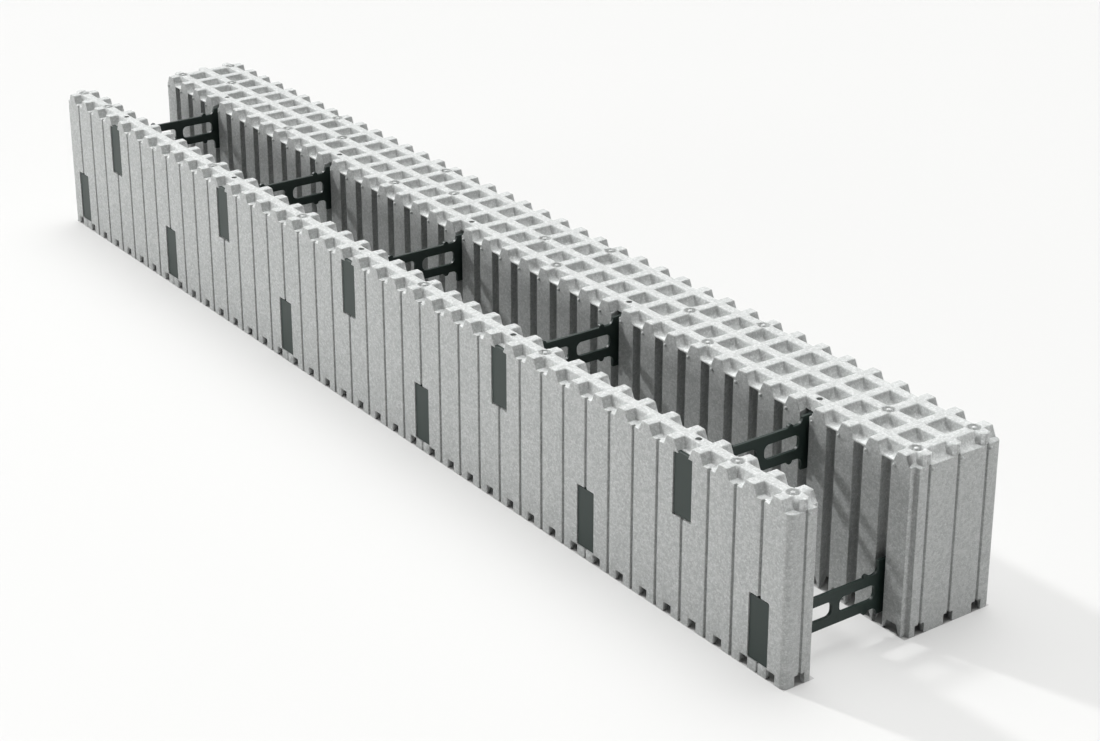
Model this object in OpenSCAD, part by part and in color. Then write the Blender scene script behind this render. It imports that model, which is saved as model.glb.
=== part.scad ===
// Insulating concrete form block: two foam panels held apart by plastic ties.
// Millimetres. X runs along the block, the thin panel is on the -Y side, Z is up.
// The origin is at the middle of the underside.

/* [Block] */
// Length of the block
block_len = 2000; // [1000:50:3000]
// Height of the block, from the floor to the tops of the ribs
block_h = 250; // [220:1:320]
// Thickness of the thin panel
thin_t = 50; // [45:1:100]
// Thickness of the thick panel
thick_t = 150; // [65:1:250]
// Width of the cavity between the panels
cavity_w = 150; // [120:1:250]
// Spacing of the ribs, grooves and dovetail slots
pitch = 50; // [46:1:60]

/* [Ribs and sockets] */
// Height of the ribs above the floor of the top
rib_h = 14; // [8:0.5:18]
// Width of a rib at its top
rib_top_w = 15; // [13.5:0.5:17]
// Width of a cross rib at its foot
cross_rib_w = 28; // [22:0.5:32]
// Width of a long rib at its foot
long_rib_w = 25; // [20:0.5:32]
// Length of the round nose at the outer ends of the ribs, from the panel's face
nose_len = 6; // [3:0.5:8]
// Length over which a rib widens behind its nose
flare_len = 9; // [4:0.5:12]
// Distance from the tip of a nose to the panel's face
nose_gap = 2; // [1:0.5:4]
// Room around a rib in the socket of the block above it
socket_clear = 0.5; // [0.2:0.1:1]
// Diameter of the round filling marks in some rib crossings
mark_d = 18; // [12:0.5:20]
// Diameter of the boss in the middle of a filling mark
boss_d = 7; // [3:0.5:8]
// Depth of a filling mark below the rib tops
mark_depth = 16; // [4:0.5:20]
// Diameter of the holes in the nearest long ribs above the upper ties
tie_hole_d = 9; // [6:0.5:11]

/* [Faces] */
// Width of the upright grooves on the outer faces
groove_w = 4.5; // [2:0.5:8]
// Depth of the upright grooves on the outer faces
groove_d = 4; // [2:0.5:6]
// Width of the upright grooves on the end faces
end_groove_w = 4.5; // [2:0.5:8]
// Depth of the upright grooves on the end faces
end_groove_d = 3.5; // [1:0.5:5]
// Radius of the outer upright corners
corner_r = 9; // [4:0.5:11]

/* [Dovetail slots] */
// Width of a slot at the cavity face
slot_mouth = 16.5; // [12:0.5:18]
// Width of a slot at its bottom
slot_inner = 25; // [20:0.5:28]
// Depth of a slot
slot_d = 16; // [8:0.5:18]
// Thickness of the foam over the slots, other than those at the upper ties and the ends
slot_cap_t = 3; // [2:0.5:8]
// Depth of the half slot at each end of a cavity face
end_slot_d = 8; // [4:0.5:12]

/* [Ties] */
// Width of a tie's flange
flange_w = 36.5; // [28:0.5:40]
// Height of a tie's flange
flange_h = 88; // [84:0.5:95]
// Thickness of a tie's flange
flange_t = 5; // [3:0.5:8]
// Corner radius of a tie's flange
flange_r = 2; // [1:0.5:5]
// Depth of a flange below the thin panel's outer face
flange_recess = 1.5; // [0.5:0.5:3]
// Gap between the long end of a flange and its pocket
flange_gap = 2; // [0.5:0.5:4]
// Thickness of a tie's web
tie_t = 5; // [3:0.5:8]
// Height of each of the two chords of a tie
chord_h = 13.5; // [10:0.5:16]
// Height of the open windows between the chords
window_h = 21; // [17:0.5:22]
// Corner radius of the windows
window_r = 8; // [3:0.5:8.5]
// Width of the post in the middle of a tie
post_w = 13; // [8:0.5:24]
// Distance from a cavity face to the nearer end of a window
window_end = 10; // [8:0.5:20]
// Distance from the short end of a tie to its first chord
chord_edge = 12; // [10:0.5:18]
// Width of the upright stem at each cavity face
stem_w = 5; // [3:0.5:7]
// Radius of the gussets between the chords and the stems
gusset_r = 8.5; // [4:0.5:9]
// Diameter of the round bar rests on the chords
rest_d = 9; // [6:0.5:12]
// Distance from a cavity face to a bar rest
rest_off = 25; // [22:0.5:35]
// Depth of the buried flange, from the thick panel's cavity face
anchor_d = 50; // [40:1:60]
// Distance from the short end of a flange to its web
web_inset = 2; // [1:0.5:3]
// Height of a tie's web in the foam
web_h = 76; // [72:0.5:82]
// Room around a tie in the foam
tie_clear = 0.2; // [0.1:0.1:0.5]

/* [Hidden] */

$fn = 48;
foam_grey = "#B4B7B5";
tie_black = "#263030";

// Ties in each of the two rows
lower_count = 6;
upper_count = 5;

// Levels: the floor between the ribs, and the short ends of the two rows of ties
floor_z = block_h - rib_h;
lower_z = rib_h + 2 * socket_clear;
upper_z = floor_z;

// Places across the block
block_w = thin_t + cavity_w + thick_t;
thin_face_y = thin_t - block_w / 2;
thick_face_y = thin_face_y + cavity_w;
cavity_mid_y = (thin_face_y + thick_face_y) / 2;

// The flanges' outer faces in the thin panel, from its cavity face
thin_flange_d = thin_t - flange_recess;

// The pitch lines along the block, from line 0 at one end to line_count at the other
line_count = floor(block_len / pitch + 0.001);
function line_x(k) = (k - line_count / 2) * pitch;

// The rows of long ribs across a panel
function row_count(t) = max(1, floor(t / pitch + 0.001));
function row_y(t, j) = (j + 0.5) * t / row_count(t);

// The ties stand on pitch lines: the end ones of the lower row one pitch in
function upper_line(i) = round((i - 0.5) * line_count / upper_count);
function lower_line(i) = min(max(round((i - 1) * line_count / (lower_count - 1)), 1), line_count - 1);

// Filling marks, in pitches to each side of the middle: on the thin panel's one row,
// and on the thick panel's rows, where every other row has its marks at other crossings
thin_marks = [3.5, 9.5, 17.5, 19.5];
thick_marks = [[4.5, 11.5, 19.5], [2.5, 9.5, 17.5]];
function row_marks(t, j) = row_count(t) == 1 ? thin_marks : thick_marks[j % 2];

// Cutters reach this far past the faces that they cut
past = 1;

// Panels: the cavity face is at y = 0 and the outer face at y = t

// The corners of the slot on one pitch line, which is half a slot at the two ends
function slot_points(k) =
    let (x = line_x(k), half_mouth = slot_mouth / 2, half_inner = slot_inner / 2)
    k == 0 ? [[x, end_slot_d], [x + half_mouth, end_slot_d], [x + half_mouth, 0]]
    : k == line_count ? [[x - half_mouth, 0], [x - half_mouth, end_slot_d], [x, end_slot_d]]
    : [[x - half_mouth, 0], [x - half_inner, slot_d], [x + half_inner, slot_d], [x + half_mouth, 0]];

// The plan of a panel: slots on some of the lines, end grooves and outer grooves on one closed outline
function panel_outline(t, slot_lines) =
    let (end = line_x(line_count), half_groove = groove_w / 2, half_end = end_groove_w / 2, rows = row_count(t))
    concat(
        [for (k = slot_lines) each slot_points(k)],
        [for (j = [0 : rows - 1])
            let (y = row_y(t, j), x = end - end_groove_d)
            each [[end, y - half_end], [x, y - half_end], [x, y + half_end], [end, y + half_end]]],
        [[end, t]],
        [for (k = [line_count - 1 : -1 : 1])
            let (x = line_x(k), y = t - groove_d)
            each [[x + half_groove, t], [x + half_groove, y], [x - half_groove, y], [x - half_groove, t]]],
        [[-end, t]],
        [for (j = [rows - 1 : -1 : 0])
            let (y = row_y(t, j), x = end_groove_d - end)
            each [[-end, y + half_end], [x, y + half_end], [x, y - half_end], [-end, y - half_end]]]);

// A drafted rib's section
module rib_section(foot_w, grow) {
    foot = foot_w / 2 + grow;
    crest = rib_top_w / 2 + grow;
    polygon([[-foot, -past], [foot, -past], [foot, 0], [crest, rib_h + grow], [-crest, rib_h + grow], [-foot, 0]]);
}

// A rib's plan from face to face. Its far end narrows to a round nose, and so does its near end,
// unless that is flush with the cavity face. A socket is grown on every side and runs through the faces.
module rib_plan(length, foot_w, grow, flush) {
    half_foot = foot_w / 2 + grow;
    half_nose = rib_top_w / 2 + grow;
    wide = nose_len + flare_len;
    face = grow > 0 ? -past : 0;
    tip = grow > 0 ? -past : nose_gap + half_nose;
    near = flush ? face : tip;
    polygon(concat(
        flush ? [[face, half_foot], [face, -half_foot]]
              : [[wide, half_foot], [nose_len, half_nose], [nose_len, -half_nose], [wide, -half_foot]],
        [[length - wide, -half_foot], [length - nose_len, -half_nose],
         [length - nose_len, half_nose], [length - wide, half_foot]]));
    translate([near, -half_nose])
        square([length - tip - near, 2 * half_nose]);
    if (grow == 0)
        for (x = flush ? [length - tip] : [tip, length - tip])
            translate([x, 0])
                circle(half_nose);
}

// A rib along X from the origin, with its foot at z = 0
module rib(length, foot_w, grow, flush) {
    intersection() {
        translate([-past, 0, 0])
            rotate([90, 0, 90])
                linear_extrude(length + 2 * past)
                    rib_section(foot_w, grow);
        translate([0, 0, -past])
            linear_extrude(rib_h + 3 * past)
                rib_plan(length, foot_w, grow, flush);
    }
}

// The grid of ribs over a panel
module rib_grid(t, grow) {
    for (k = [0 : line_count - 1])
        translate([line_x(k + 0.5), 0, 0])
            rotate([0, 0, 90])
                rib(t, cross_rib_w, grow, true);
    for (j = [0 : row_count(t) - 1])
        translate([line_x(0), row_y(t, j), 0])
            rib(line_x(line_count) - line_x(0), long_rib_w, grow, false);
}

// What is cut away to round one outer upright corner
module corner_cut(t, side) {
    cut = corner_r + past;
    translate([side * (block_len / 2 - corner_r), t - corner_r, -past])
        difference() {
            translate([side > 0 ? 0 : -cut, 0, 0])
                cube([cut, cut, block_h + 2 * past]);
            cylinder(r = corner_r, h = block_h + 2 * past);
        }
}

// A round filling mark, with the boss that stays in its middle
module filling_mark(x, y) {
    translate([x, y, block_h - mark_depth])
        difference() {
            cylinder(d = mark_d, h = mark_depth + past);
            translate([0, 0, -past])
                cylinder(d = boss_d, h = mark_depth + 3 * past);
        }
}

// The filling marks of a panel, and the holes above its upper ties
module top_marks(t) {
    for (j = [0 : row_count(t) - 1], d = row_marks(t, j), side = [-1, 1])
        if (d < line_count / 2)
            filling_mark(side * d * pitch, row_y(t, j));
    for (i = [1 : upper_count])
        translate([line_x(upper_line(i)), row_y(t, 0), floor_z])
            cylinder(d = tie_hole_d, h = rib_h + past);
}

// A whole panel without the pockets for its ties
module panel(t) {
    cap_z = floor_z - slot_cap_t;
    difference() {
        union() {
            linear_extrude(cap_z + past)
                polygon(panel_outline(t, [for (k = [0 : line_count]) k]));
            translate([0, 0, cap_z])
                linear_extrude(slot_cap_t)
                    polygon(panel_outline(t, concat(0, [for (i = [1 : upper_count]) upper_line(i)], line_count)));
            translate([0, 0, floor_z])
                rib_grid(t, 0);
        }
        rib_grid(t, socket_clear);
        top_marks(t);
        corner_cut(t, 1);
        corner_cut(t, -1);
    }
}

// Ties: the cavity's middle is at y = 0, the short end at z = 0 and the long end at z = flange_h

// A rectangle with round corners, from the origin
module rounded_rect(w, h, r) {
    translate([r, 0])
        square([w - 2 * r, h]);
    translate([0, r])
        square([w, h - 2 * r]);
    for (x = [r, w - r], y = [r, h - r])
        translate([x, y])
            circle(r);
}

// A tie's web, from its stem in the cavity to its flange in a panel whose cavity face is at y = 0
module tie_web(depth, grow) {
    translate([-tie_t / 2 - grow, -stem_w, web_inset - grow])
        cube([tie_t + 2 * grow, stem_w + depth - flange_t / 2, web_h + 2 * grow]);
}

// A tie's flange, with its outer face at y = depth
module tie_flange(depth, thickness, grow, gap) {
    translate([-flange_w / 2 - grow, depth, -grow])
        rotate([90, 0, 0])
            linear_extrude(thickness)
                rounded_rect(flange_w + 2 * grow, flange_h + 2 * grow + gap, flange_r + grow);
}

// The pocket that a web and flange leave in a panel, open past the flange's outer face
module tie_pocket(depth, open) {
    tie_web(depth, tie_clear);
    tie_flange(depth + open, flange_t + tie_clear + open, tie_clear, flange_gap);
}

// The ladder that crosses the cavity, as a side view: along the cavity and up
module ladder_half() {
    reach = cavity_w / 2 - stem_w;
    chord_top = chord_edge + 2 * chord_h + window_h;
    difference() {
        union() {
            translate([0, chord_edge])
                square([reach, chord_top - chord_edge]);
            translate([reach - gusset_r, chord_edge - gusset_r])
                square([gusset_r, chord_top - chord_edge + 2 * gusset_r]);
            for (z = [chord_edge, chord_top])
                translate([cavity_w / 2 - rest_off, z])
                    circle(d = rest_d);
        }
        translate([post_w / 2, chord_edge + chord_h])
            rounded_rect(cavity_w / 2 - window_end - post_w / 2, window_h, window_r);
        for (z = [chord_edge - gusset_r, chord_top + gusset_r])
            translate([reach - gusset_r, z])
                circle(gusset_r);
    }
}

// Half of a tie, from the middle of the cavity into a panel
module tie_half(depth) {
    rotate([90, 0, 90])
        translate([0, 0, -tie_t / 2])
            linear_extrude(tie_t)
                ladder_half();
    translate([0, cavity_w / 2, 0]) {
        tie_web(depth, 0);
        tie_flange(depth, flange_t, 0, 0);
    }
}

module tie() {
    tie_half(anchor_d);
    mirror([0, 1, 0])
        tie_half(thin_flange_d);
}

// Stands what is drawn at a lower tie's place, or upside down at an upper tie's place
module at_lower(i, y) {
    translate([line_x(lower_line(i)), y, lower_z])
        children();
}

module at_upper(i, y) {
    translate([line_x(upper_line(i)), y, upper_z])
        mirror([0, 0, 1])
            children();
}

// The pockets of all the ties in a panel whose cavity face is at y = 0
module tie_pockets(depth, open) {
    for (i = [1 : lower_count])
        at_lower(i, 0)
            tie_pocket(depth, open);
    for (i = [1 : upper_count])
        at_upper(i, 0)
            tie_pocket(depth, open);
}

// Nodes

module thin_panel() {
    color(foam_grey)
        translate([0, thin_face_y, 0])
            mirror([0, 1, 0])
                difference() {
                    panel(thin_t);
                    tie_pockets(thin_flange_d, flange_recess + past);
                }
}

module thick_panel() {
    color(foam_grey)
        translate([0, thick_face_y, 0])
            difference() {
                panel(thick_t);
                tie_pockets(anchor_d, tie_clear);
            }
}

module lower_tie(i) {
    color(tie_black)
        at_lower(i, cavity_mid_y)
            tie();
}

module upper_tie(i) {
    color(tie_black)
        at_upper(i, cavity_mid_y)
            tie();
}

thin_panel();
thick_panel();
for (i = [1 : lower_count])
    lower_tie(i);
for (i = [1 : upper_count])
    upper_tie(i);
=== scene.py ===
# Insulating concrete form block: a thin and a thick foam panel, held apart by plastic ties.
# Metres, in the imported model's frame: X runs along the block, the thin panel is on the -Y side.
import math

import bmesh
import bpy
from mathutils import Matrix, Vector


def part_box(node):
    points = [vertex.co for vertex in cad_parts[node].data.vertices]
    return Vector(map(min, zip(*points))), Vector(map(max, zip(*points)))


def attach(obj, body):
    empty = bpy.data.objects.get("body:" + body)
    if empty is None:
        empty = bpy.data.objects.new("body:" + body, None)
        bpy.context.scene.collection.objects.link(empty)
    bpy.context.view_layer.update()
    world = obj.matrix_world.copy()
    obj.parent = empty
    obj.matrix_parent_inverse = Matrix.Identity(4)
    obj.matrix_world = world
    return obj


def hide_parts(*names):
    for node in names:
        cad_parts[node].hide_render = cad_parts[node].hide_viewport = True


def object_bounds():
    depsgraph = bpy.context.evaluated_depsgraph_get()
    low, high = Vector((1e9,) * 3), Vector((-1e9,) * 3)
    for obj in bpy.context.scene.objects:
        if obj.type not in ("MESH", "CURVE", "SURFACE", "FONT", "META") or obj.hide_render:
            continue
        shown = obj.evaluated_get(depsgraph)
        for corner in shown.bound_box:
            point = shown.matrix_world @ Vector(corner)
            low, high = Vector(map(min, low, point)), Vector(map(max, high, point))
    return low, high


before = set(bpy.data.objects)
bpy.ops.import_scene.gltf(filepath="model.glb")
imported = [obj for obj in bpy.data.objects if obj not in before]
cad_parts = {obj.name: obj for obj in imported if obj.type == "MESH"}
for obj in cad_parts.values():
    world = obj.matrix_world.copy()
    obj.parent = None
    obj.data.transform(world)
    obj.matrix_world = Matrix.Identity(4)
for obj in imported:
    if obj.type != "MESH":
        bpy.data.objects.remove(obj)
cad_low, cad_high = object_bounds()
scene = bpy.context.scene


# Foam panels
# Two panels of grey expanded polystyrene, each moulded in one: beads of foam, blown into the mould
# and welded together by steam. The grid of ribs on top plugs into the sockets under the next block.
# The mould leaves most of the edges a little round.
PANEL_NODES = ("thin_panel", "thick_panel")
PITCH = 0.05
HALF_LENGTH = cad_high.x
RIB_H = 0.014
RIB_FLOOR_Z = cad_high.z - RIB_H
MARK_DEPTH = 0.016
MARK_FLOOR_Z = cad_high.z - MARK_DEPTH
RIB_EDGE_R = 0.0018
FACE_EDGE_R = 0.0013
SOCKET_EDGE_R = 0.0005
HOLE_EDGE_R = 0.0004
POCKET_EDGE_R = 0.0003
# The heights between which an edge belongs to a rib, a tie's pocket or a socket
RIB_FROM_Z = RIB_FLOOR_Z + 0.001
POCKET_TO_Z = RIB_FLOOR_Z - 0.0005
POCKET_FROM_Z = 0.0146
SOCKET_TO_Z = 0.016
# How far from a crossing, a line of the pitch, an end or the thin panel's face an edge still
# belongs to a filling mark, a hole, a rib's nose, a groove, a tie's pocket or the skirt
MARK_ZONE = 0.0115
HOLE_ZONE = 0.006
NOSE_ZONE = 0.0155
GROOVE_ZONE = 0.004
POCKET_ZONE = 0.012
SKIRT_ZONE = 0.007
MESH_MERGE = 0.00002
FLAT_EDGE = math.radians(1)
HARD_EDGE = math.radians(25)
DARK_BEAD = "9A9C9B"
PALE_BEAD = "C0C2C1"
BEAD_SIZE = 0.0030
BEAD_TONE = 0.6
WELD_TONE = 1.1
WELD_DEPTH = 0.0006


def linear(colour):
    """Turns an sRGB hex colour into linear RGBA."""
    parts = [int(colour[i:i + 2], 16) / 255 for i in (0, 2, 4)]
    return [c / 12.92 if c <= 0.04045 else ((c + 0.055) / 1.055) ** 2.4 for c in parts] + [1.0]


def add_node(tree, kind, inputs=None, **settings):
    """Adds a node with its settings, and links or sets its inputs."""
    node = tree.nodes.new(kind)
    for name, value in settings.items():
        setattr(node, name, value)
    for socket, value in (inputs or {}).items():
        if isinstance(value, bpy.types.NodeSocket):
            tree.links.new(value, node.inputs[socket])
        else:
            node.inputs[socket].default_value = value
    return node


def empty_material(name):
    """A new material, and its node tree with nothing in it."""
    material = bpy.data.materials.new(name)
    material.use_nodes = True
    material.node_tree.nodes.clear()
    return material, material.node_tree


def round_edges(piece, radius, limit):
    """Rounds a piece's edges in two steps, closes points that meet and keeps its faces flat."""
    bevel = piece.modifiers.new("Mould radius", "BEVEL")
    bevel.limit_method = limit
    bevel.angle_limit = HARD_EDGE
    bevel.width = radius
    bevel.segments = 2
    bevel.use_clamp_overlap = False
    weld = piece.modifiers.new("Close points", "WELD")
    weld.merge_threshold = MESH_MERGE
    flat = piece.modifiers.new("Flat faces", "WEIGHTED_NORMAL")
    flat.weight = 100


def rounded_copy(node, material, edge_radius, cuts, top_cuts=()):
    """A copy of a CAD node whose outer edges are rounded, each by its own radius.
    The cuts split its large faces, so that each one stays flat under the rounding.
    The top cuts split only what stands above the floor between the ribs."""
    shape = bmesh.new()
    shape.from_mesh(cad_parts[node].data)
    bmesh.ops.remove_doubles(shape, verts=shape.verts, dist=MESH_MERGE)
    bmesh.ops.dissolve_limit(shape, angle_limit=FLAT_EDGE, verts=shape.verts, edges=shape.edges)
    for point, normal in cuts:
        every = shape.verts[:] + shape.edges[:] + shape.faces[:]
        bmesh.ops.bisect_plane(shape, geom=every, dist=MESH_MERGE, plane_co=point, plane_no=normal)
    for point, normal in top_cuts:
        faces = [f for f in shape.faces if min(v.co.z for v in f.verts) > RIB_FLOOR_Z - MESH_MERGE]
        parts = faces + list(dict.fromkeys(e for f in faces for e in f.edges))
        parts += list(dict.fromkeys(v for f in faces for v in f.verts))
        bmesh.ops.bisect_plane(shape, geom=parts, dist=MESH_MERGE, plane_co=point, plane_no=normal)
    weight = shape.edges.layers.float.new("bevel_weight_edge")
    widest = 0.0
    for edge in shape.edges:
        if edge.is_convex and edge.calc_face_angle() > HARD_EDGE:
            edge[weight] = edge_radius(edge)
            widest = max(widest, edge[weight])
    for edge in shape.edges:
        edge[weight] /= widest
    mesh = bpy.data.meshes.new(node + "_look")
    shape.to_mesh(mesh)
    shape.free()
    mesh.shade_smooth()
    mesh.materials.append(material)
    piece = bpy.data.objects.new(node + "_look", mesh)
    scene.collection.objects.link(piece)
    round_edges(piece, widest, "WEIGHT")
    return piece


def crossing(place):
    """The column and row of the nearest crossing of two ribs, and the distance to it in X and Y."""
    column = math.floor(place.x / PITCH)
    row = round(place.y / PITCH)
    return (column, row), abs(place.x - (column + 0.5) * PITCH), abs(place.y - row * PITCH)


def marked_crossings(node):
    """The crossings that have a round filling mark, told by the floor of its pit."""
    points = [v.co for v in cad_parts[node].data.vertices]
    near = [crossing(point) for point in points if abs(point.z - MARK_FLOOR_Z) < MESH_MERGE]
    return {where for where, along, across in near if max(along, across) < MARK_ZONE}


def foam_edge_radius(edge, marked):
    """Rib tops are rounder than the faces, and the thin walls of the sockets, of the ties' pockets
    and of the small holes are sharper. The marks, the ribs' noses at the ends, the floors of the
    pockets and the notches of the thin panel's skirt are left sharp."""
    middle = (edge.verts[0].co + edge.verts[1].co) / 2
    height = max(v.co.z for v in edge.verts)
    where, along, across = crossing(middle)
    beside_line = abs(middle.x - round(middle.x / PITCH) * PITCH)
    if height > RIB_FROM_Z:
        in_mark = where in marked and max(along, across) < MARK_ZONE
        in_nose = max(abs(v.co.x) for v in edge.verts) > HALF_LENGTH - NOSE_ZONE
        if in_mark or in_nose:
            return 0.0
        return HOLE_EDGE_R if math.hypot(beside_line, across) < HOLE_ZONE else RIB_EDGE_R
    if height < SOCKET_TO_Z:
        in_skirt = middle.y < cad_low.y + SKIRT_ZONE
        at_pocket_floor = height > POCKET_FROM_Z
        return 0.0 if in_skirt or at_pocket_floor else SOCKET_EDGE_R
    in_pocket = middle.y < cad_low.y + POCKET_ZONE and beside_line > GROOVE_ZONE
    if in_pocket and height < POCKET_TO_Z:
        return POCKET_EDGE_R
    return FACE_EDGE_R


# Expanded polystyrene, moulded: matt and pale, with a faint grain of beads and the welds between them
foam, tree = empty_material("Moulded expanded polystyrene")
place = add_node(tree, "ShaderNodeTexCoord").outputs["Object"]
bead = add_node(tree, "ShaderNodeTexVoronoi", {"Vector": place, "Scale": 1 / BEAD_SIZE})
joint = add_node(tree, "ShaderNodeTexVoronoi", {"Vector": place, "Scale": 1 / BEAD_SIZE},
                 feature="DISTANCE_TO_EDGE")
shade = add_node(tree, "ShaderNodeSeparateColor", {"Color": bead.outputs["Color"]})
bead_tone = add_node(tree, "ShaderNodeMath", {0: shade.outputs["Red"], 1: BEAD_TONE},
                     operation="MULTIPLY")
tone = add_node(tree, "ShaderNodeMath",
                {0: joint.outputs["Distance"], 1: WELD_TONE, 2: bead_tone.outputs[0]},
                operation="MULTIPLY_ADD", use_clamp=True)
colour = add_node(tree, "ShaderNodeMix",
                  {0: tone.outputs[0], 6: linear(DARK_BEAD), 7: linear(PALE_BEAD)}, data_type="RGBA")
welds = add_node(tree, "ShaderNodeBump",
                 {"Height": joint.outputs["Distance"], "Strength": 0.25, "Distance": WELD_DEPTH})
skin = add_node(tree, "ShaderNodeBsdfPrincipled",
                {"Base Color": colour.outputs[2], "Roughness": 0.9, "IOR": 1.3,
                 "Normal": welds.outputs["Normal"]})
add_node(tree, "ShaderNodeOutputMaterial", {"Surface": skin.outputs["BSDF"]})

for node in PANEL_NODES:
    low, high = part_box(node)
    half_columns = round(4 * HALF_LENGTH / PITCH)
    half_rows = 2 * round((high.y - low.y) / PITCH)
    cuts = [((-HALF_LENGTH + PITCH / 2 * i, 0, 0), (1, 0, 0)) for i in range(1, half_columns)]
    cuts += [((0, low.y + PITCH / 2 * j, 0), (0, 1, 0)) for j in range(1, half_rows)]
    cuts += [((0, 0, (low.z + high.z) / 2), (0, 0, 1))]
    marked = marked_crossings(node)
    marked_columns = sorted({column for column, row in marked})
    marked_rows = sorted({row for column, row in marked})
    top_cuts = []
    for side in (-MARK_ZONE, MARK_ZONE):
        top_cuts += [(((column + 0.5) * PITCH + side, 0, 0), (1, 0, 0)) for column in marked_columns]
        top_cuts += [((0, row * PITCH + side, 0), (0, 1, 0)) for row in marked_rows]
    panel = rounded_copy(node, foam, lambda edge: foam_edge_radius(edge, marked), cuts, sorted(top_cuts))
    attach(panel, "root")
    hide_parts(node)


# Rib ends
# At the outer faces the cross ribs run out to the face at their full section, in one with the foam.
# Each is a short drafted wedge over the narrower end of the solid rib, with the radius of the faces.
RIB_TOP_W = 0.015
RIB_FOOT_W = 0.028
END_LEN = 0.0153
END_SINK = 0.003
END_PROUD = 0.00005
OUTER_FACES = {"thin_panel": (cad_low.y, 1), "thick_panel": (cad_high.y, -1)}
LINE_COUNT = round(2 * HALF_LENGTH / PITCH)
ROW_INPUTS = {"Count": "NodeSocketInt", "Start": "NodeSocketVector", "Step": "NodeSocketVector",
              "Material": "NodeSocketMaterial"}


def row_tree(name, shape_inputs):
    """A node tree for a row of like shapes, with its named inputs, and the sockets that give them."""
    tree = bpy.data.node_groups.new(name, "GeometryNodeTree")
    for key, kind in {**ROW_INPUTS, **shape_inputs}.items():
        tree.interface.new_socket(key, in_out="INPUT", socket_type=kind)
    tree.interface.new_socket("Geometry", in_out="OUTPUT", socket_type="NodeSocketGeometry")
    return tree, add_node(tree, "NodeGroupInput").outputs


def repeat_along_row(tree, given, shape):
    """Repeats a shape along the row that the inputs give, and gives it the material."""
    row = add_node(tree, "GeometryNodeMeshLine",
                   {"Count": given["Count"], "Start Location": given["Start"], "Offset": given["Step"]})
    spread = add_node(tree, "GeometryNodeInstanceOnPoints",
                      {"Points": row.outputs["Mesh"], "Instance": shape})
    real = add_node(tree, "GeometryNodeRealizeInstances", {"Geometry": spread.outputs["Instances"]})
    smooth = add_node(tree, "GeometryNodeSetShadeSmooth", {"Geometry": real.outputs["Geometry"]})
    dressed = add_node(tree, "GeometryNodeSetMaterial",
                       {"Geometry": smooth.outputs["Geometry"], "Material": given["Material"]})
    add_node(tree, "NodeGroupOutput", {"Geometry": dressed.outputs["Geometry"]})


def made_by(tree, name, values):
    """An object with the mesh that a node tree makes from the given values."""
    piece = bpy.data.objects.new(name, bpy.data.meshes.new(name))
    scene.collection.objects.link(piece)
    maker = piece.modifiers.new(tree.name, "NODES")
    maker.node_group = tree
    for item in tree.interface.items_tree:
        if item.in_out == "INPUT":
            maker[item.identifier] = values[item.name]
    made = piece.evaluated_get(bpy.context.evaluated_depsgraph_get())
    mesh = bpy.data.meshes.new_from_object(made)
    piece.modifiers.remove(maker)
    piece.data = mesh
    return piece


end_tree, given = row_tree("Row of rib ends",
                           {"Inward": "NodeSocketVector", "Top Width": "NodeSocketFloat",
                            "Foot Width": "NodeSocketFloat", "Height": "NodeSocketFloat"})
# The path turns its section over, so the rib's foot is drawn at the top
section = add_node(end_tree, "GeometryNodeCurvePrimitiveQuadrilateral",
                   {"Bottom Width": given["Top Width"], "Top Width": given["Foot Width"],
                    "Height": given["Height"], "Offset": 0.0}, mode="TRAPEZOID")
path = add_node(end_tree, "GeometryNodeCurvePrimitiveLine", {"End": given["Inward"]})
wedge = add_node(end_tree, "GeometryNodeCurveToMesh",
                 {"Curve": path.outputs["Curve"], "Profile Curve": section.outputs["Curve"],
                  "Fill Caps": True})
repeat_along_row(end_tree, given, wedge.outputs["Mesh"])

end_height = RIB_H + END_SINK
end_foot_w = RIB_TOP_W + (RIB_FOOT_W - RIB_TOP_W) * end_height / RIB_H
for node, (face_y, inward) in OUTER_FACES.items():
    start = (-HALF_LENGTH + PITCH / 2, face_y + inward * END_PROUD, cad_high.z - end_height / 2)
    ends = made_by(end_tree, node + "_rib_ends", {
        "Count": LINE_COUNT, "Start": start, "Step": (PITCH, 0, 0), "Inward": (0, inward * END_LEN, 0),
        "Top Width": RIB_TOP_W + 2 * END_PROUD, "Foot Width": end_foot_w + 2 * END_PROUD,
        "Height": end_height + 2 * END_PROUD, "Material": foam})
    round_edges(ends, FACE_EDGE_R, "ANGLE")
    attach(ends, "root")


# Pips
# A small round pip of foam on every tooth of the cavity faces, beside the top of a dovetail slot,
# and one beside the top of each groove of the end faces. They are in one with the moulded panel.
PIP_R = 0.0026
PIP_FROM_LINE = 0.014
PIP_Z = 0.230
END_PIP_FROM_ROW = 0.005
CAVITY_FACES = {"thin_panel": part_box("thin_panel")[1].y, "thick_panel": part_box("thick_panel")[0].y}

pip_tree, given = row_tree("Row of pips", {"Radius": "NodeSocketFloat"})
ball = add_node(pip_tree, "GeometryNodeMeshUVSphere",
                {"Segments": 16, "Rings": 8, "Radius": given["Radius"]})
repeat_along_row(pip_tree, given, ball.outputs["Mesh"])

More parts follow.
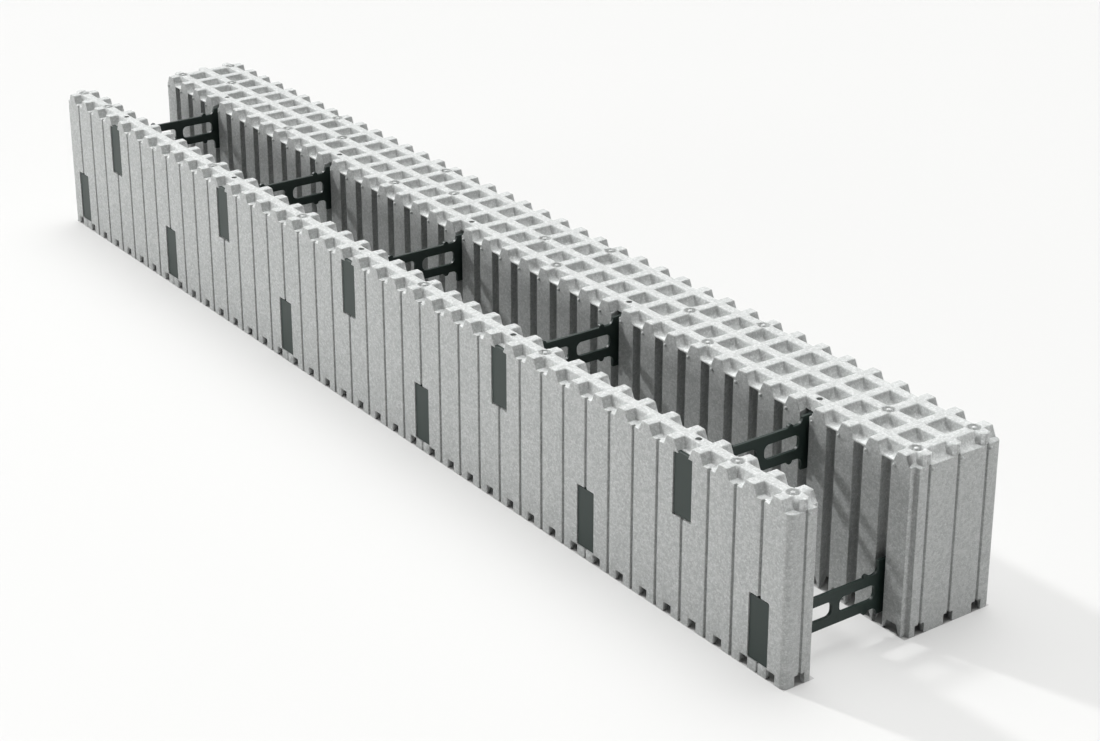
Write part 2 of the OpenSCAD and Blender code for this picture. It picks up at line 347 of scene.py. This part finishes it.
for node, face_y in CAVITY_FACES.items():
    low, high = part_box(node)
    rows = round((high.y - low.y) / PITCH)
    pip_rows = {"_pips": (LINE_COUNT, (-HALF_LENGTH + PIP_FROM_LINE, face_y, PIP_Z), (PITCH, 0, 0))}
    for side, end_x in (("_left", -HALF_LENGTH), ("_right", HALF_LENGTH)):
        start = (end_x, low.y + PITCH / 2 + END_PIP_FROM_ROW, PIP_Z)
        pip_rows[side + "_end_pips"] = (rows, start, (0, PITCH, 0))
    for suffix, (count, start, step) in pip_rows.items():
        pips = made_by(pip_tree, node + suffix, {"Count": count, "Start": start, "Step": step,
                                                 "Radius": PIP_R, "Material": foam})
        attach(pips, "root")


# Ties
# Eleven ladders of dark polypropylene, each injection moulded in one with its two flanges, one of
# which shows on the thin panel's face. The foam is moulded round them, so nothing else holds them.
LOWER_TIES = 6
UPPER_TIES = 5
TIE_NODES = [f"lower_tie_{i + 1}" for i in range(LOWER_TIES)]
TIE_NODES += [f"upper_tie_{i + 1}" for i in range(UPPER_TIES)]
TIE_MIDDLE_Y = sum(CAVITY_FACES.values()) / 2
TIE_CUTS_FROM_MIDDLE = (0.0, 0.010, 0.035, 0.060, 0.068, 0.0751)
TIE_SLICES = 8
TIE_EDGE_R = 0.0006
TIE_GREEN_BLACK = "1A2723"
GRAIN_SIZE = 0.002
GRAIN_DEPTH = 0.0003

# Injection-moulded polypropylene: near black, with the soft sheen of a lightly grained mould.
# The grain of such a mould is a few tenths of a millimetre, and is drawn coarser so that it shows.
tie_plastic, tree = empty_material("Moulded polypropylene")
place = add_node(tree, "ShaderNodeTexCoord").outputs["Object"]
grain = add_node(tree, "ShaderNodeTexNoise", {"Vector": place, "Scale": 1 / GRAIN_SIZE, "Detail": 2.0})
grained = add_node(tree, "ShaderNodeBump",
                   {"Height": grain.outputs["Fac"], "Strength": 0.2, "Distance": GRAIN_DEPTH})
skin = add_node(tree, "ShaderNodeBsdfPrincipled",
                {"Base Color": linear(TIE_GREEN_BLACK), "Roughness": 0.42, "IOR": 1.45,
                 "Normal": grained.outputs["Normal"]})
add_node(tree, "ShaderNodeOutputMaterial", {"Surface": skin.outputs["BSDF"]})

for node in TIE_NODES:
    low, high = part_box(node)
    slice_h = (high.z - low.z) / TIE_SLICES
    cuts = [((0, TIE_MIDDLE_Y + side * y, 0), (0, 1, 0)) for y in TIE_CUTS_FROM_MIDDLE for side in (-1, 1)]
    cuts += [((0, 0, low.z + slice_h * i), (0, 0, 1)) for i in range(1, TIE_SLICES)]
    tie = rounded_copy(node, tie_plastic, lambda edge: TIE_EDGE_R, cuts)
    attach(tie, "root")
    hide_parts(node)


# Floor
# A white paper sweep under the block. The two strips that the panels stand on are bare paper, and
# the rest is partly lit up for the camera, so that it stays white and keeps its shadow.
FLOOR_HALF = 30.0
FLOOR_X = (-FLOOR_HALF, -HALF_LENGTH, HALF_LENGTH, FLOOR_HALF)
FLOOR_Y = (-FLOOR_HALF, cad_low.y, *CAVITY_FACES.values(), cad_high.y, FLOOR_HALF)
PANEL_TILE_COLUMN = 1
PANEL_TILE_ROWS = (1, 3)
PAPER = "BDBDBC"
LIT_PAPER = "F7F7F6"
LIT_SHARES = {"White paper sweep": 0.45, "White paper under the panels": 0.0}

corners = [(x, y, 0) for y in FLOOR_Y for x in FLOOR_X]
row_corners = len(FLOOR_X)
row_tiles = row_corners - 1
firsts = [i + row_corners * j for j in range(len(FLOOR_Y) - 1) for i in range(row_tiles)]
tiles = [(first, first + 1, first + 1 + row_corners, first + row_corners) for first in firsts]
floor_mesh = bpy.data.meshes.new("floor")
floor_mesh.from_pydata(corners, [], tiles)
floor = bpy.data.objects.new("floor", floor_mesh)
scene.collection.objects.link(floor)

# Uncoated white paper: matt and even, and the camera sees a share of it as lit
for name, lit_share in LIT_SHARES.items():
    paper, tree = empty_material(name)
    ray = add_node(tree, "ShaderNodeLightPath")
    share = add_node(tree, "ShaderNodeMath", {0: ray.outputs["Is Camera Ray"], 1: lit_share},
                     operation="MULTIPLY")
    sheet = add_node(tree, "ShaderNodeBsdfPrincipled", {"Base Color": linear(PAPER), "Roughness": 0.9})
    glow = add_node(tree, "ShaderNodeEmission", {"Color": linear(LIT_PAPER), "Strength": 1.0})
    lit = add_node(tree, "ShaderNodeMixShader",
                   {0: share.outputs[0], 1: sheet.outputs["BSDF"], 2: glow.outputs["Emission"]})
    add_node(tree, "ShaderNodeOutputMaterial", {"Surface": lit.outputs["Shader"]})
    floor_mesh.materials.append(paper)
for row in PANEL_TILE_ROWS:
    floor_mesh.polygons[row * row_tiles + PANEL_TILE_COLUMN].material_index = 1


# Light
# A soft patch of light overhead that leans a little to the back, and a soft key light that comes
# along the block from its -X end. One softbox lights the front, and a weaker one the +X end.
# The camera and reflections see a plain pale backdrop.
SKY_MIDDLE = (-0.18, 0.2, 0.963)
SKY_FOCUS = 12.0
SKY_STRENGTH = 10.0
SKY_BASE = 0.02
SKY_WHITE = "FFFFFF"
BACKDROP_WHITE = "F6F6F6"
KEY_FROM = (-0.783, -0.24, 0.574)
KEY_STRENGTH = 2.4
KEY_SOFTNESS = math.radians(4)
# Each softbox has its power in watts, its width and height, its place and the point that it faces
SOFTBOXES = {"Front softbox": (71, 2.5, 1.0, (-1.7, -3.8, 0.8), (-0.3, -0.1, 0.1)),
             "End fill": (52, 1.5, 0.4, (5.0, 0.6, 0.35), (1.0, 0.05, 0.12))}

world = bpy.data.worlds.new("Studio")
scene.world = world
world.use_nodes = True
tree = world.node_tree
tree.nodes.clear()
ray = add_node(tree, "ShaderNodeLightPath")
sky = add_node(tree, "ShaderNodeTexCoord")
near_middle = add_node(tree, "ShaderNodeVectorMath", {0: sky.outputs["Generated"], 1: SKY_MIDDLE},
                       operation="DOT_PRODUCT")
above = add_node(tree, "ShaderNodeMath", {0: near_middle.outputs["Value"], 1: 0.0}, operation="MAXIMUM")
patch = add_node(tree, "ShaderNodeMath", {0: above.outputs[0], 1: SKY_FOCUS}, operation="POWER")
strength = add_node(tree, "ShaderNodeMath", {0: patch.outputs[0], 1: SKY_STRENGTH, 2: SKY_BASE},
                    operation="MULTIPLY_ADD")
soft_light = add_node(tree, "ShaderNodeBackground",
                      {"Color": linear(SKY_WHITE), "Strength": strength.outputs[0]})
backdrop = add_node(tree, "ShaderNodeBackground", {"Color": linear(BACKDROP_WHITE), "Strength": 1.0})
seen = add_node(tree, "ShaderNodeMath", {0: ray.outputs["Is Camera Ray"], 1: ray.outputs["Is Glossy Ray"]},
                operation="MAXIMUM")
mix = add_node(tree, "ShaderNodeMixShader",
               {0: seen.outputs[0], 1: soft_light.outputs[0], 2: backdrop.outputs[0]})
add_node(tree, "ShaderNodeOutputWorld", {"Surface": mix.outputs[0]})

sun = bpy.data.lights.new("Key", "SUN")
sun.energy = KEY_STRENGTH
sun.angle = KEY_SOFTNESS
key = bpy.data.objects.new("Key", sun)
key.rotation_euler = Vector(KEY_FROM).to_track_quat("Z", "Y").to_euler()
scene.collection.objects.link(key)
for name, (power, width, height, place, target) in SOFTBOXES.items():
    area = bpy.data.lights.new(name, "AREA")
    area.shape = "RECTANGLE"
    area.size = width
    area.size_y = height
    area.energy = power
    softbox = bpy.data.objects.new(name, area)
    softbox.location = place
    softbox.rotation_euler = (Vector(place) - Vector(target)).to_track_quat("Z", "Y").to_euler()
    scene.collection.objects.link(softbox)


# Camera
# The photograph's own view, found by fitting the block's pitch to it: from the front and right, and
# above. The lens points at a row above the middle of the frame, so the frame is shifted down.
PHOTO_W = 1100
PHOTO_H = 741
FOCAL_PIXELS = 2242
LENS_ROW = 250
SENSOR_MM = 36
CAMERA_PLACE = (2.7176, -1.755, 1.4654)
AZIMUTH = math.radians(54.28)
ELEVATION = math.radians(21.17)

lens_data = bpy.data.cameras.new("Camera")
lens_data.lens = FOCAL_PIXELS / PHOTO_W * SENSOR_MM
lens_data.sensor_width = SENSOR_MM
lens_data.shift_y = -(PHOTO_H / 2 - LENS_ROW) / PHOTO_W
camera = bpy.data.objects.new("Camera", lens_data)
back = Vector((math.sin(AZIMUTH) * math.cos(ELEVATION), -math.cos(AZIMUTH) * math.cos(ELEVATION),
               math.sin(ELEVATION)))
camera.location = CAMERA_PLACE
camera.rotation_euler = back.to_track_quat("Z", "Y").to_euler()
scene.collection.objects.link(camera)
scene.camera = camera
scene.view_settings.view_transform = "Standard"
